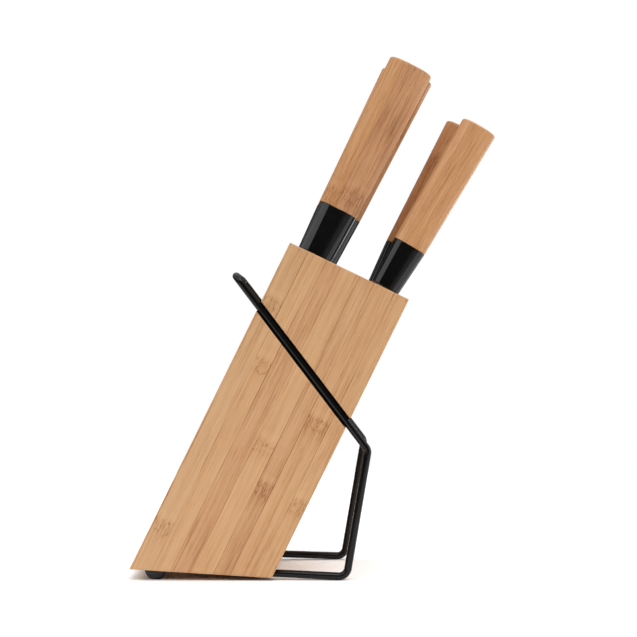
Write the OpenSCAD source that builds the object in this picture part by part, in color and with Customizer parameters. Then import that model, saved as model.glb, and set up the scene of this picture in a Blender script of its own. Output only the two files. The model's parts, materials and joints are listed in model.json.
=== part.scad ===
// Slanted knife block on a bent-wire stand, with five knives.
// +X points from the front of the block to the back, the way the handles lean. +Z is up.
// The block rests on two rubber feet at the front and on the wire's two rear bends.
// The origin is on the table, under the middle of the whole object.

/* [Block] */
// Width of the block between its two side faces
block_w = 90; // [88:1:96]
// Depth of the block, square to its sloping front and back faces
block_d = 85.8; // [85.2:0.2:90]
// Length of the front face along its slope
front_len = 237; // [234:1:250]
// Lean of the block away from upright, in degrees
lean = 26.2; // [24:0.1:28]
// Fall of the bottom face towards the back, in degrees
base_fall = 3.5; // [3:0.1:4]
// Fall of the top face towards the back, in degrees
top_fall = 25.6; // [24:0.1:27]

/* [Slots] */
// Thickness of a slot, and of the strips that space the boards apart
slot_t = 4; // [3:0.1:5]
// Spacing of the three slot layers across the block
slot_pitch = 27; // [26:0.5:28]
// Wood in front of the large slots
front_wall = 6; // [5.5:0.1:6.5]
// Length of a large slot from front to back
large_slot_len = 46; // [45.5:0.1:46.5]
// Wood between a large slot and the small slot behind it
divider_len = 4; // [3.5:0.1:4.5]
// Length of a small slot from front to back
small_slot_len = 25; // [24.5:0.1:25]
// Height of the large slots' floor above the block's lowest front edge, along the slope
large_floor = 30; // [26:1:31]
// Height of the small slots' floor, measured the same way
small_floor = 90; // [60:1:100]

/* [Feet] */
// Radius of a domed rubber foot
foot_r = 7.4; // [7:0.1:8]
// Height of a foot at its centre, where the table presses it flat
foot_h = 6.5; // [6:0.1:6.8]
// Distance of a foot's centre from the block's front edge
foot_inset = 16.3; // [12:0.1:20]
// Distance of a foot's centre from the block's side face
foot_side_inset = 10; // [9:0.5:14]

/* [Wire stand] */
// Diameter of the wire
wire_d = 5; // [4.6:0.1:5.2]
// Radius of each bend, to the wire's centre
bend_r = 6; // [5:0.5:8]
// Depth of the wire's centre below the side face
wire_sink = 3.2; // [3:0.1:3.5]
// Width of the diagonal groove in each side board
groove_w = 6.3; // [6:0.1:6.6]
// Rear bottom corner of the wire, back from the block's front bottom edge
rear_x = 141.5; // [138:0.5:145]
// Lean of the wire's upright legs, in degrees
leg_lean = 9.64; // [8:0.1:11]
// Height of the corner between leg and diagonal
knee_z = 84.8; // [80:0.2:90]
// Rise of the diagonal above level, in degrees
diagonal_rise = 52.8; // [51:0.1:54]
// Height of the crossbar in front of the block
crossbar_z = 198.5; // [190:0.5:205]
// Fall of the lower runs towards the back, in degrees
run_fall = 2.3; // [2:0.1:2.6]
// Turn of the lower runs towards the middle of the block, in degrees
run_toe_in = 2.8; // [2:0.1:3.2]
// Length of each wire end inside the block
wire_grip = 32; // [25:1:40]

/* [Large handles] */
// Length of the wooden grip
large_grip_len = 107.4; // [100:0.2:112]
// Width of the grip where it meets the ferrule
large_neck_w = 26.9; // [26:0.1:28]
// Width of the grip at its butt end
large_butt_w = 30.3; // [29:0.1:31]
// Thickness of the grip at its butt end
large_grip_t = 21.5; // [20:0.1:23]
// Length of the ferrule
large_ferrule_len = 33.7; // [30:0.1:38]
// Width of the ferrule where it meets the block
large_ferrule_w = 24.4; // [23:0.1:26]

/* [Small handles] */
// Length of the paring knife's grip
small_grip_len = 92.2; // [88:0.2:96]
// Length of the utility knife's grip
utility_grip_len = 95.2; // [88:0.2:98]
// Width of the grip where it meets the ferrule
small_neck_w = 23; // [21.5:0.1:23.5]
// Width of the grip at its butt end
small_butt_w = 24.5; // [23.5:0.1:25]
// Thickness of the grip at its butt end
small_grip_t = 18; // [17:0.1:20]
// Length of the ferrule
small_ferrule_len = 32; // [30:0.1:35]
// Width of the ferrule where it meets the block
small_ferrule_w = 19.6; // [19:0.1:20.5]

/* [Knife seats] */
// Chef's knife: distance back from the front face, extra lean in degrees, lift off the block
chef_seat = [20.7, 0.5, 1]; // [0:0.1:22]
// Bread knife, the same three values
bread_seat = [18.1, 0.7, 0]; // [0:0.1:20]
// Carving knife, the same three values
carving_seat = [15.7, 0.2, 1.6]; // [-1:0.1:20]
// Utility knife, the same three values
utility_seat = [67.7, 1.1, 1.5]; // [0:0.1:70]
// Paring knife, the same three values
paring_seat = [68.9, 4.3, 0]; // [0:0.1:70]

/* [Blades] */
// Chef's blade: length, spine and edge, both measured from the knife's axis
chef_blade_size = [198, -12, 30]; // [-12:1:200]
// Bread blade, the same three values
bread_blade_size = [198, -9, 20]; // [-9:1:200]
// Carving blade, the same three values
carving_blade_size = [196, -8, 17]; // [-8:1:200]
// Utility blade, the same three values
utility_blade_size = [125, -8, 11.5]; // [-8:0.5:130]
// Paring blade, the same three values
paring_blade_size = [88, -7, 10]; // [-7:0.5:95]
// Thickness of the three large blades
large_blade_t = 2; // [1.6:0.1:2.4]
// Thickness of the two small blades
small_blade_t = 1.6; // [1.2:0.1:1.8]

/* [Hidden] */
$fn = 64;
// Clearance round a tang or a wire end, and under a ferrule
fit_gap = 0.1;
// Stretch of bare tang between a ferrule and the heel of its blade
blade_gap = 2;
// Room left in a grip past the end of its tang
tang_gap = 1;
// How far a cut or a joined shape runs past a face
overshoot = 1;
// Thickness of the slices that a hull is stretched over
slice_h = 0.01;
// The balls between the wire's bends and straights: how much fatter they are, and the gap they close
joint_bulge = 0.02;
joint_gap = 0.05;

// Rounded-oval sections of the ferrules and grips: power of the superellipse, and points round it
oval_power = 2.5;
oval_steps = 40;
// Thickness of a handle's neck, as a part of its thickness at the butt end
neck_ratio = 0.9;
// Butt end: radius of its edge, height of its crown, and the part of its width the crown's top takes
butt_round = 1.4;
butt_crown = 1;
crown_part = 0.5;
butt_step = 30;

// Width and length of the tangs, with the part that goes into the grip
large_tang = [10, 62];
small_tang = [8, 50];
// Side view of each blade: drop of the spine at the tip, the parts of its length where the spine and
// the edge start to curve, the power of the edge's curve, and the width of the ground bevel
chef_curve = [12, 0.45, 0.25, 2.2, 24];
bread_curve = [9, 0.85, 0.93, 2, 12];
carving_curve = [8, 0.6, 0.5, 2.4, 17];
utility_curve = [7, 0.5, 0.35, 2.2, 12];
paring_curve = [8, 0.5, 0.35, 2, 10];
curve_steps = 24;
// Thickness of a ground edge
edge_t = 0.3;
// Serrations of the bread blade
scallop_pitch = 8;
scallop_count = 22;
scallop_r = 8.1;
scallop_depth = 0.95;

wood_color = "BurlyWood";
grip_color = "Peru";
wire_color = "DimGray";
ferrule_color = "Black";
rubber_color = "DarkSlateGray";
steel_color = "Silver";

// Heights of the bottom and top faces, seen square to the side and measured along the slope
function bottom_at(v) = v * tan(lean - base_fall);
function top_at(v) = front_len + v * tan(lean - top_fall);

// Layers across the block, from the middle outwards
inner_y0 = slot_t / 2;
inner_y1 = slot_pitch - slot_t / 2;
outer_y0 = slot_pitch + slot_t / 2;
outer_y1 = block_w / 2;

// Ends of the slots, back from the front face
large_end = front_wall + large_slot_len;
small_start = large_end + divider_len;
small_end = small_start + small_slot_len;

// Height of the block's front bottom edge above the table
block_z = foot_h + foot_inset * sin(base_fall);

// The butt end of the paring knife reaches furthest back, so it sets where the middle is
paring_lean = lean + paring_seat[1];
paring_seat_v = paring_seat[0];
paring_seat_u = top_at(paring_seat_v) + seat_gap(paring_seat, small_ferrule_w);
paring_seat_x = paring_seat_v * cos(lean) + paring_seat_u * sin(lean);
paring_corner_z = small_ferrule_len + small_grip_len - butt_round - butt_crown;
paring_round_x = (small_butt_w / 2 - butt_round) * cos(paring_lean) + butt_round;
x_max = paring_seat_x + paring_corner_z * sin(paring_lean) + paring_round_x;
front_x = -x_max / 2;

// Centre line of one side of the wire stand
wire_r = wire_d / 2;
wire_y = block_w / 2 - wire_sink;
rear_turn = 90 - leg_lean + run_fall;
rear_z = wire_r + bend_r * (1 - cos(run_fall) - sin(run_fall) * tan(rear_turn / 2));
back_face_x = block_d * cos(lean) + (bottom_at(block_d) + wire_r) * sin(lean);
run_len = rear_x - back_face_x + wire_grip;
rear_corner = [front_x + rear_x, wire_y, rear_z];
run_dir = [-cos(run_fall) * cos(run_toe_in), -sin(run_toe_in), sin(run_fall) * cos(run_toe_in)];
wire_end = rear_corner + run_len * run_dir;
knee = [rear_corner[0] + (knee_z - rear_z) * tan(leg_lean), wire_y, knee_z];
crossbar = [knee[0] - (crossbar_z - knee_z) / tan(diagonal_rise), wire_y, crossbar_z];
crossbar_middle = [crossbar[0], 0, crossbar[2]];

// ---- placing ----

// Block frame: X square to the front face, Z up the slope, origin on the front bottom edge
module in_block() {
    translate([front_x, 0, block_z]) rotate([0, lean, 0]) children();
}

// Turns a side-view outline into a board between two distances across the block
module board(y0, y1) {
    translate([0, y1, 0]) rotate([90, 0, 0]) linear_extrude(y1 - y0) children();
}

// Moves the local Z axis onto the line from a to b
module along(a, b) {
    d = b - a;
    translate(a) rotate([0, acos(d[2] / norm(d)), atan2(d[1], d[0])]) children();
}

// Gap that lets a leaning ferrule's lower edge just clear the top face
function seat_gap(seat, w) = w / 2 * tan(abs(seat[1] + lean - top_fall)) + fit_gap + seat[2];

// Knife frame: Z up the knife's axis, X towards the cutting edge, origin at the ferrule's foot
module in_knife(seat, y, w) {
    in_block()
        translate([seat[0], y, top_at(seat[0]) + seat_gap(seat, w)])
            rotate([0, seat[1], 0])
                children();
}

// ---- block ----

// Outline between two distances back from the front face, and two heights along the slope
module outline(v0, v1, lo0, lo1, hi0, hi1) {
    polygon([[v0, lo0], [v1, lo1], [v1, hi1], [v0, hi0]]);
}

// Strip that runs the block's full height
module full_strip(v0, v1, y0, y1) {
    color(wood_color) in_block() board(y0, y1)
        outline(v0, v1, bottom_at(v0), bottom_at(v1), top_at(v0), top_at(v1));
}

// Strip that stands on a slot floor and runs to the top
module upper_strip(v0, v1, floor_u, y0, y1) {
    color(wood_color) in_block() board(y0, y1)
        outline(v0, v1, floor_u, floor_u, top_at(v0), top_at(v1));
}

// Filler between the bottom face and a slot floor
module floor_strip(v0, v1, floor_u, y0, y1) {
    color(wood_color) in_block() board(y0, y1)
        outline(v0, v1, bottom_at(v0), bottom_at(v1), floor_u, floor_u);
}

// Round-bottomed groove that the wire's diagonal lies in, on the +Y side
module diagonal_groove() {
    reach = norm(crossbar - knee);
    along(crossbar, knee) {
        cylinder(h = reach, r = groove_w / 2);
        translate([-groove_w / 2, 0, 0]) cube([groove_w, block_w, reach]);
    }
}

// Groove in the bottom face that grips the wire's end, on the +Y side
module end_groove() {
    r = wire_r + fit_gap;
    start = wire_end + fit_gap * run_dir;
    reach = norm(rear_corner - start);
    along(start, rear_corner) {
        cylinder(h = reach, r = r);
        translate([0, -r, 0]) cube([block_w, 2 * r, reach]);
    }
}

module side_board_left() {
    difference() {
        full_strip(0, block_d, outer_y0, outer_y1);
        diagonal_groove();
        end_groove();
    }
}

module side_board_right() {
    mirror([0, 1, 0]) side_board_left();
}

module inner_board_left() {
    full_strip(0, block_d, inner_y0, inner_y1);
}

module inner_board_right() {
    full_strip(0, block_d, -inner_y1, -inner_y0);
}

module front_strip_left() {
    full_strip(0, front_wall, inner_y1, outer_y0);
}

module front_strip_centre() {
    full_strip(0, front_wall, -inner_y0, inner_y0);
}

module front_strip_right() {
    full_strip(0, front_wall, -outer_y0, -inner_y1);
}

module divider_strip_left() {
    upper_strip(large_end, small_start, large_floor, inner_y1, outer_y0);
}

module divider_strip_right() {
    upper_strip(large_end, small_start, large_floor, -outer_y0, -inner_y1);
}

module rear_strip_left() {
    full_strip(small_end, block_d, inner_y1, outer_y0);
}

module rear_strip_centre() {
    full_strip(large_end, block_d, -inner_y0, inner_y0);
}

module rear_strip_right() {
    full_strip(small_end, block_d, -outer_y0, -inner_y1);
}

module slot_floor_left() {
    floor_strip(front_wall, small_start, large_floor, inner_y1, outer_y0);
}

module slot_floor_centre() {
    floor_strip(front_wall, large_end, large_floor, -inner_y0, inner_y0);
}

module slot_floor_right() {
    floor_strip(front_wall, small_start, large_floor, -outer_y0, -inner_y1);
}

module small_slot_floor_left() {
    floor_strip(small_start, small_end, small_floor, inner_y1, outer_y0);
}

module small_slot_floor_right() {
    floor_strip(small_start, small_end, small_floor, -outer_y0, -inner_y1);
}

// ---- stand and feet ----

function unit(v) = v / norm(v);
function turn_between(a, b) = acos(unit(a) * unit(b));
function trim(p0, p1, p2) = bend_r * tan(turn_between(p1 - p0, p2 - p1) / 2);

// Bend of the wire at p1, on the way from p0 to p2
module bend(p0, p1, p2) {
    d0 = unit(p1 - p0);
    d1 = unit(p2 - p1);
    inward = unit(d1 - d0 * (d0 * d1));
    up = cross(-inward, d0);
    c = p1 - d0 * trim(p0, p1, p2) + inward * bend_r;
    multmatrix([
        [-inward[0], d0[0], up[0], c[0]],
        [-inward[1], d0[1], up[1], c[1]],
        [-inward[2], d0[2], up[2], c[2]],
        [0, 0, 0, 1]
    ])
        rotate_extrude(angle = turn_between(d0, d1)) translate([bend_r, 0]) circle(wire_r);
}

// Straight stretch from a to b, shortened at each end to meet the bends there
module straight(a, b, cut_a, cut_b) {
    along(a, b) translate([0, 0, cut_a]) cylinder(h = norm(b - a) - cut_a - cut_b, r = wire_r);
}

// Bend at p1 with a ball at each end, a hair thicker than the wire, that closes the joint
module joined_bend(p0, p1, p2) {
    cut = trim(p0, p1, p2);
    bend(p0, p1, p2);
    translate(p1 + cut * unit(p0 - p1)) sphere(r = wire_r + joint_bulge);
    translate(p1 + cut * unit(p2 - p1)) sphere(r = wire_r + joint_bulge);
}

// One side of the stand, from the wire's end in the block to the crossbar
module wire_side() {
    rear_cut = trim(wire_end, rear_corner, knee) + joint_gap;
    knee_cut = trim(rear_corner, knee, crossbar) + joint_gap;
    top_cut = trim(knee, crossbar, crossbar_middle) + joint_gap;
    straight(wire_end, rear_corner, 0, rear_cut);
    joined_bend(wire_end, rear_corner, knee);
    straight(rear_corner, knee, rear_cut, knee_cut);
    joined_bend(rear_corner, knee, crossbar);
    straight(knee, crossbar, knee_cut, top_cut);
    joined_bend(knee, crossbar, crossbar_middle);
}

module wire_stand() {
    crossbar_end = [crossbar[0], -crossbar[1], crossbar[2]];
    cut = trim(knee, crossbar, crossbar_middle) + joint_gap;
    color(wire_color) union() {
        wire_side();
        mirror([0, 1, 0]) wire_side();
        straight(crossbar, crossbar_end, cut, cut);
    }
}

// Rubber dome under the bottom face, flat where it stands on the table
module foot(y) {
    x = front_x + foot_inset * cos(base_fall);
    color(rubber_color) intersection() {
        translate([x, y, foot_h]) sphere(r = foot_r);
        translate([x, y, foot_h]) rotate([0, base_fall, 0])
            translate([-2 * foot_r, -2 * foot_r, -4 * foot_r]) cube(4 * foot_r);
        translate([x - 2 * foot_r, y - 2 * foot_r, 0]) cube(4 * foot_r);
    }
}

module foot_left() {
    foot(block_w / 2 - foot_side_inset);
}

module foot_right() {
    foot(foot_side_inset - block_w / 2);
}

// ---- knives ----

// Rounded-oval section: a superellipse of width w and thickness t
function bulge(c) = sign(c) * pow(abs(c), 2 / oval_power);
module oval(w, t, z) {
    translate([0, 0, z]) linear_extrude(slice_h) polygon([
        for (i = [0 : oval_steps - 1])
            let (a = 360 * i / oval_steps) [w / 2 * bulge(cos(a)), t / 2 * bulge(sin(a))]
    ]);
}

// Slot for a tang in a ferrule or grip
module tang_slot(tang_w, t, z0, z1) {
    w = tang_w + fit_gap;
    slot = t + fit_gap;
    translate([-w / 2, -slot / 2, z0]) cube([w, slot, z1 - z0]);
}

// Ferrule, widening from the block to the grip; t is its thickness at the grip
module ferrule(len, foot_w, neck_w, t, tang_w, blade_t) {
    color(ferrule_color) difference() {
        hull() {
            oval(foot_w, t * foot_w / neck_w, 0);
            oval(neck_w, t, len - slice_h);
        }
        tang_slot(tang_w, blade_t, -overshoot, len + overshoot);
    }
}

// Wooden grip on top of a ferrule, with a crowned and rounded butt end
module grip(z0, len, neck_w, butt_w, neck_t, butt_t, tang, blade_t) {
    shoulder = z0 + len - butt_round - butt_crown;
    color(grip_color) difference() {
        hull() {
            oval(neck_w, neck_t, z0);
            for (a = [0 : butt_step : 90]) {
                inset = 2 * butt_round * (1 - cos(a));
                oval(butt_w - inset, butt_t - inset, shoulder + butt_round * sin(a));
            }
            oval(butt_w * crown_part, butt_t * crown_part, z0 + len - slice_h);
        }
        tang_slot(tang[0], blade_t, z0 - overshoot, z0 + tang[1]);
    }
}

// Spine and edge of a blade at a part s of its length; size is [length, spine, edge]
function curved(s, from, power) = pow(max(0, (s - from) / (1 - from)), power);
function spine_at(s, size, curve) = size[1] + curve[0] * curved(s, curve[1], 2);
function edge_at(s, size, curve) =
    size[2] - (size[2] - size[1] - curve[0]) * curved(s, curve[2], curve[3]);
module blade_outline(size, curve) {
    polygon(concat(
        [for (i = [0 : curve_steps]) let (s = i / curve_steps)
            [spine_at(s, size, curve), -blade_gap - s * size[0]]],
        [for (i = [curve_steps - 1 : -1 : 0]) let (s = i / curve_steps)
            [edge_at(s, size, curve), -blade_gap - s * size[0]]]
    ));
}

// Tang that runs from the blade through the ferrule into the grip
module tang_outline(tang, ferrule_len) {
    reach = blade_gap + ferrule_len + tang[1] - tang_gap;
    translate([-tang[0] / 2, -blade_gap - overshoot]) square([tang[0], reach + overshoot]);
}

// Plate of thickness t, ground to a thin edge over the given width
module ground_plate(size, t, bevel_w) {
    slope = atan((t - edge_t) / 2 / bevel_w);
    color(steel_color) difference() {
        translate([0, t / 2, 0]) rotate([90, 0, 0]) linear_extrude(t) children();
        for (m = [0, 1]) mirror([0, m, 0])
            translate([size[2] - bevel_w, t / 2, -blade_gap - size[0] - overshoot])
                rotate([0, 0, -slope])
                    cube([2 * bevel_w, t, size[0] + overshoot]);
    }
}

// Side view of a plain blade with its tang
module knife_outline(size, curve, tang, ferrule_len) {
    union() {
        blade_outline(size, curve);
        tang_outline(tang, ferrule_len);
    }
}

module large_blade(seat, y, size, curve) {
    in_knife(seat, y, large_ferrule_w)
        ground_plate(size, large_blade_t, curve[4])
            knife_outline(size, curve, large_tang, large_ferrule_len);
}

module small_blade(seat, y, size, curve) {
    in_knife(seat, y, small_ferrule_w)
        ground_plate(size, small_blade_t, curve[4])
            knife_outline(size, curve, small_tang, small_ferrule_len);
}

module bread_blade() {
    size = bread_blade_size;
    in_knife(bread_seat, -slot_pitch, large_ferrule_w)
        ground_plate(size, large_blade_t, bread_curve[4])
            difference() {
                knife_outline(size, bread_curve, large_tang, large_ferrule_len);
                for (i = [1 : scallop_count])
                    translate([size[2] + scallop_r - scallop_depth, -blade_gap - i * scallop_pitch])
                        circle(scallop_r);
            }
}

module large_ferrule(seat, y) {
    in_knife(seat, y, large_ferrule_w)
        ferrule(large_ferrule_len, large_ferrule_w, large_neck_w, large_grip_t * neck_ratio,
            large_tang[0], large_blade_t);
}

module large_grip(seat, y) {
    in_knife(seat, y, large_ferrule_w)
        grip(large_ferrule_len, large_grip_len, large_neck_w, large_butt_w,
            large_grip_t * neck_ratio, large_grip_t, large_tang, large_blade_t);
}

module small_ferrule(seat, y) {
    in_knife(seat, y, small_ferrule_w)
        ferrule(small_ferrule_len, small_ferrule_w, small_neck_w, small_grip_t * neck_ratio,
            small_tang[0], small_blade_t);
}

module small_grip(seat, y, len) {
    in_knife(seat, y, small_ferrule_w)
        grip(small_ferrule_len, len, small_neck_w, small_butt_w,
            small_grip_t * neck_ratio, small_grip_t, small_tang, small_blade_t);
}

module chef_blade() { large_blade(chef_seat, 0, chef_blade_size, chef_curve); }
module chef_ferrule() { large_ferrule(chef_seat, 0); }
module chef_handle() { large_grip(chef_seat, 0); }
module bread_ferrule() { large_ferrule(bread_seat, -slot_pitch); }
module bread_handle() { large_grip(bread_seat, -slot_pitch); }
module carving_blade() { large_blade(carving_seat, slot_pitch, carving_blade_size, carving_curve); }
module carving_ferrule() { large_ferrule(carving_seat, slot_pitch); }
module carving_handle() { large_grip(carving_seat, slot_pitch); }
module utility_blade() { small_blade(utility_seat, slot_pitch, utility_blade_size, utility_curve); }
module utility_ferrule() { small_ferrule(utility_seat, slot_pitch); }
module utility_handle() { small_grip(utility_seat, slot_pitch, utility_grip_len); }
module paring_blade() { small_blade(paring_seat, -slot_pitch, paring_blade_size, paring_curve); }
module paring_ferrule() { small_ferrule(paring_seat, -slot_pitch); }
module paring_handle() { small_grip(paring_seat, -slot_pitch, small_grip_len); }

side_board_right();
side_board_left();
inner_board_right();
inner_board_left();
front_strip_right();
front_strip_centre();
front_strip_left();
divider_strip_right();
divider_strip_left();
rear_strip_right();
rear_strip_centre();
rear_strip_left();
slot_floor_right();
slot_floor_centre();
slot_floor_left();
small_slot_floor_right();
small_slot_floor_left();
wire_stand();
foot_right();
foot_left();
chef_blade();
chef_ferrule();
chef_handle();
bread_blade();
bread_ferrule();
bread_handle();
carving_blade();
carving_ferrule();
carving_handle();
utility_blade();
utility_ferrule();
utility_handle();
paring_blade();
paring_ferrule();
paring_handle();
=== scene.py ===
"""Knife block with knives: refined meshes, materials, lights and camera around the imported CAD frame.

Metres, +Z up, +X from the block's front face to its back. Every piece is built at rest in the frame's
own coordinates, replaces one CAD node and rides on that node's body.
"""
import json
import math

import bmesh
import bpy
from mathutils import Matrix, Vector


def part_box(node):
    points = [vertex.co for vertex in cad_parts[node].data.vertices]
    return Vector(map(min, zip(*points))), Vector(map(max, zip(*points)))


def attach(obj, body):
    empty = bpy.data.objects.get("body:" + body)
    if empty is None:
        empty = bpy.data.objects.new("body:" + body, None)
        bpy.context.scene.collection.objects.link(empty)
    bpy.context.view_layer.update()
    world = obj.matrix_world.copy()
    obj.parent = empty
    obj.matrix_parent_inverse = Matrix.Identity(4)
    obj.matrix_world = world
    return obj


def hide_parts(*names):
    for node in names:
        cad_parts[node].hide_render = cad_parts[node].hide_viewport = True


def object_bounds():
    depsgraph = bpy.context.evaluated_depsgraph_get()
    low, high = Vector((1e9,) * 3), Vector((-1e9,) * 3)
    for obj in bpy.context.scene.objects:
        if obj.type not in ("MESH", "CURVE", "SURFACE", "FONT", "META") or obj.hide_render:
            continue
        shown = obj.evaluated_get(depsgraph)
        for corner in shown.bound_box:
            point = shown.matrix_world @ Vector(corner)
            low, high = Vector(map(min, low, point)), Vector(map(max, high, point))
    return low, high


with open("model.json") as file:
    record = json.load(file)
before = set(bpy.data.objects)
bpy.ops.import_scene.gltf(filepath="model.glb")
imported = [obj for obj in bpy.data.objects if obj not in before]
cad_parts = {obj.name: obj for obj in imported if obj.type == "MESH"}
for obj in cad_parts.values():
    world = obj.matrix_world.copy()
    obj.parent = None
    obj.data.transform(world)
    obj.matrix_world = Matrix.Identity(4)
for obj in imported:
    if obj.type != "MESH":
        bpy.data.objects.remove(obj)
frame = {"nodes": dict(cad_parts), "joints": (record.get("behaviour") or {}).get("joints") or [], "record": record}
cad_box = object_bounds()

MM = 0.001
NODES = frame["nodes"]
BODY_OF = {node: body for body, nodes in frame["record"]["behaviour"]["bodies"].items() for node in nodes}
UP = Vector((0, 0, 1))
ACROSS = Vector((0, 1, 0))

# ---- block ----
BOARDS = [
    "side_board_right", "side_board_left", "inner_board_right", "inner_board_left",
    "front_strip_right", "front_strip_centre", "front_strip_left",
    "divider_strip_right", "divider_strip_left",
    "rear_strip_right", "rear_strip_centre", "rear_strip_left",
    "slot_floor_right", "slot_floor_centre", "slot_floor_left",
    "small_slot_floor_right", "small_slot_floor_left",
]
OUTER_EASE = 0.6 * MM
MOUTH_EASE = 0.3 * MM
SEAM_EASE = 0.08 * MM
WELD = 0.002 * MM
ON_FACE = 0.02 * MM
FLAT_ANGLE = math.radians(1)
EASED_FROM_ANGLE = math.radians(20)
EASE_SEGMENTS = 2
FACES_SIDEWAYS = 0.99

# ---- all pieces ----
# Edges sharper than this many degrees are shaded as edges
SHARP_ANGLE = 30
BOARD_SHARP_ANGLE = 20
# Where a rounded end or lip has its rings, in degrees
ROUND_ANGLES = (0, 30, 60, 90)
# How far along each side the middle point of a small rounded corner lies, as a part of its radius
CORNER_MIDDLE = 0.3

# ---- wire stand ----
WIRE_R = 2.5 * MM
BEND_R = 6 * MM
KNEE_Z = 84.8 * MM
LEG_LEAN = math.radians(9.64)
DIAGONAL_RISE = math.radians(52.8)
RUN_FALL = math.radians(2.3)
RUN_TOE_IN = math.radians(2.8)
WIRE_SIDES = 32
BEND_STEP = math.radians(5)
WIRE_END_ROUND = 0.5 * MM

# ---- feet ----
FOOT_SIDES = 64
FOOT_RINGS = 20
FOOT_SOFTNESS = 0.35 * MM
FOOT_LIP = 0.4 * MM

# ---- knives ----
# Handles are rounded ovals: at a power of 2 they would be ellipses, and a higher power makes them squarer
OVAL_POWER = 2.5
OVAL_SIDES = 96
BUTT_ROUND = 1.4 * MM
BUTT_ROUND_STEP = 15
BUTT_CROWN = 1 * MM
# Rings on the crowned butt, as parts of the way from its middle to its rounded edge
BUTT_CROWN_PARTS = (0.85, 0.65, 0.45, 0.25, 0.1)
LIP_ROUND = 0.35 * MM
# Distance from each end of a handle's straight stretch to the ring that keeps the rounding at the end
HOLD = 0.3 * MM
LENGTH_RINGS = 6
TANG_CLEARANCE = 0.05 * MM
# The eased corners of a tang's section, as parts of its half width and half thickness
TANG_EASE_W = 0.05
TANG_EASE_T = 0.1
LARGE = {"blade_t": 2 * MM, "tang_w": 10 * MM, "tang_len": 61 * MM}
SMALL = {"blade_t": 1.6 * MM, "tang_w": 8 * MM, "tang_len": 49 * MM}
# Side view of each blade: drop of the spine at the tip, the parts of the length where the spine and the
# edge start to curve, the power of the edge's curve, and the width of the ground bevel
BLADES = {
    "chef": {
        **LARGE, "drop": 12 * MM, "spine_from": 0.45, "edge_from": 0.25, "power": 2.2, "bevel": 24 * MM,
    },
    "bread": {
        **LARGE, "drop": 9 * MM, "spine_from": 0.85, "edge_from": 0.93, "power": 2, "bevel": 12 * MM,
    },
    "carving": {
        **LARGE, "drop": 8 * MM, "spine_from": 0.6, "edge_from": 0.5, "power": 2.4, "bevel": 17 * MM,
    },
    "utility": {
        **SMALL, "drop": 7 * MM, "spine_from": 0.5, "edge_from": 0.35, "power": 2.2, "bevel": 12 * MM,
    },
    "paring": {
        **SMALL, "drop": 8 * MM, "spine_from": 0.5, "edge_from": 0.35, "power": 2, "bevel": 10 * MM,
    },
}
SPINE_POWER = 2
BLADE_STATIONS = 120
BREAD_STATIONS = 528
EDGE_T = 0.3 * MM
CUTTING_T = 0.12 * MM
SPINE_ROUND = 0.25 * MM
HEEL_ROUND = 2.5 * MM
# Part of its thickness that a blade loses from heel to tip
BLADE_TAPER = 0.25
HONED_W = 1.2 * MM
SCALLOP_PITCH = 8 * MM
SCALLOP_DEPTH = 0.95 * MM
SCALLOP_GRIND = 3.5 * MM
# The most of a blade's height that each of them takes, which narrows them towards the tip
BEVEL_MOST = 0.75
HONED_MOST = 0.2
SCALLOP_GRIND_MOST = 0.4
SCALLOP_MOST = 0.3


# ---- meshes ----

def new_piece(name, bm, node, material):
    """Turns a bmesh into a piece that replaces a CAD node and rides on its body."""
    bmesh.ops.recalc_face_normals(bm, faces=bm.faces)
    mesh = bpy.data.meshes.new(name)
    bm.to_mesh(mesh)
    bm.free()
    piece = bpy.data.objects.new(name, mesh)
    bpy.context.scene.collection.objects.link(piece)
    finish_piece(piece, node, material, SHARP_ANGLE)


def finish_piece(piece, node, material, sharp):
    """Smooths a piece apart from its sharp edges, gives it its material, sets it on its body and hides the CAD
    node it replaces.
    """
    piece.data.polygons.foreach_set("use_smooth", [True] * len(piece.data.polygons))
    piece.data.set_sharp_from_angle(angle=math.radians(sharp))
    piece.data.materials.clear()
    piece.data.materials.append(material)
    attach(piece, BODY_OF[node])
    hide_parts(node)


def around(count, offset=0):
    """Angles spread evenly round a circle, the first one offset by a part of a step."""
    return [2 * math.pi * (i + offset) / count for i in range(count)]


def add_ring(bm, points):
    """Vertices at the points, with no face yet."""
    return [bm.verts.new(p) for p in points]


def bridge(bm, ring_a, ring_b):
    """Quads between two rings of the same length."""
    count = len(ring_a)
    for i in range(count):
        j = (i + 1) % count
        bm.faces.new((ring_a[i], ring_a[j], ring_b[j], ring_b[i]))


def close_to_point(bm, ring, point):
    """Triangles from a ring to one point."""
    tip = bm.verts.new(point)
    for i in range(len(ring)):
        bm.faces.new((ring[i], ring[(i + 1) % len(ring)], tip))


def loft(rings, start=None, end=None, closed=False):
    """A skin over rings of points, with a pole at each given end, or joined end to start."""
    bm = bmesh.new()
    made = [add_ring(bm, ring) for ring in rings]
    for ring_a, ring_b in zip(made, made[1:]):
        bridge(bm, ring_a, ring_b)
    if closed:
        bridge(bm, made[-1], made[0])
    if start is not None:
        close_to_point(bm, made[0], start)
    if end is not None:
        close_to_point(bm, made[-1], end)
    return bm


# ---- block frame: X square to the front face, Z up the slope, origin on the front bottom edge ----

def block_corners():
    """The four corners of the block's side view: front bottom, back bottom, back top, front top."""
    points = [v.co for v in NODES["inner_board_right"].data.vertices]
    front_bottom = min(points, key=lambda p: p.x)
    back_bottom = min(points, key=lambda p: p.z)
    back_top = max(points, key=lambda p: p.x)
    front_top = max(points, key=lambda p: p.z)
    return [Vector((p.x, 0, p.z)) for p in (front_bottom, back_bottom, back_top, front_top)]


CORNERS = block_corners()
SLOPE = CORNERS[3] - CORNERS[0]
LEAN = math.atan2(SLOPE.x, SLOPE.z)
BLOCK_FRAME = Matrix.Translation(CORNERS[0]) @ Matrix.Rotation(LEAN, 4, "Y")
HALF_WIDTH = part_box("side_board_left")[1].y


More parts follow.
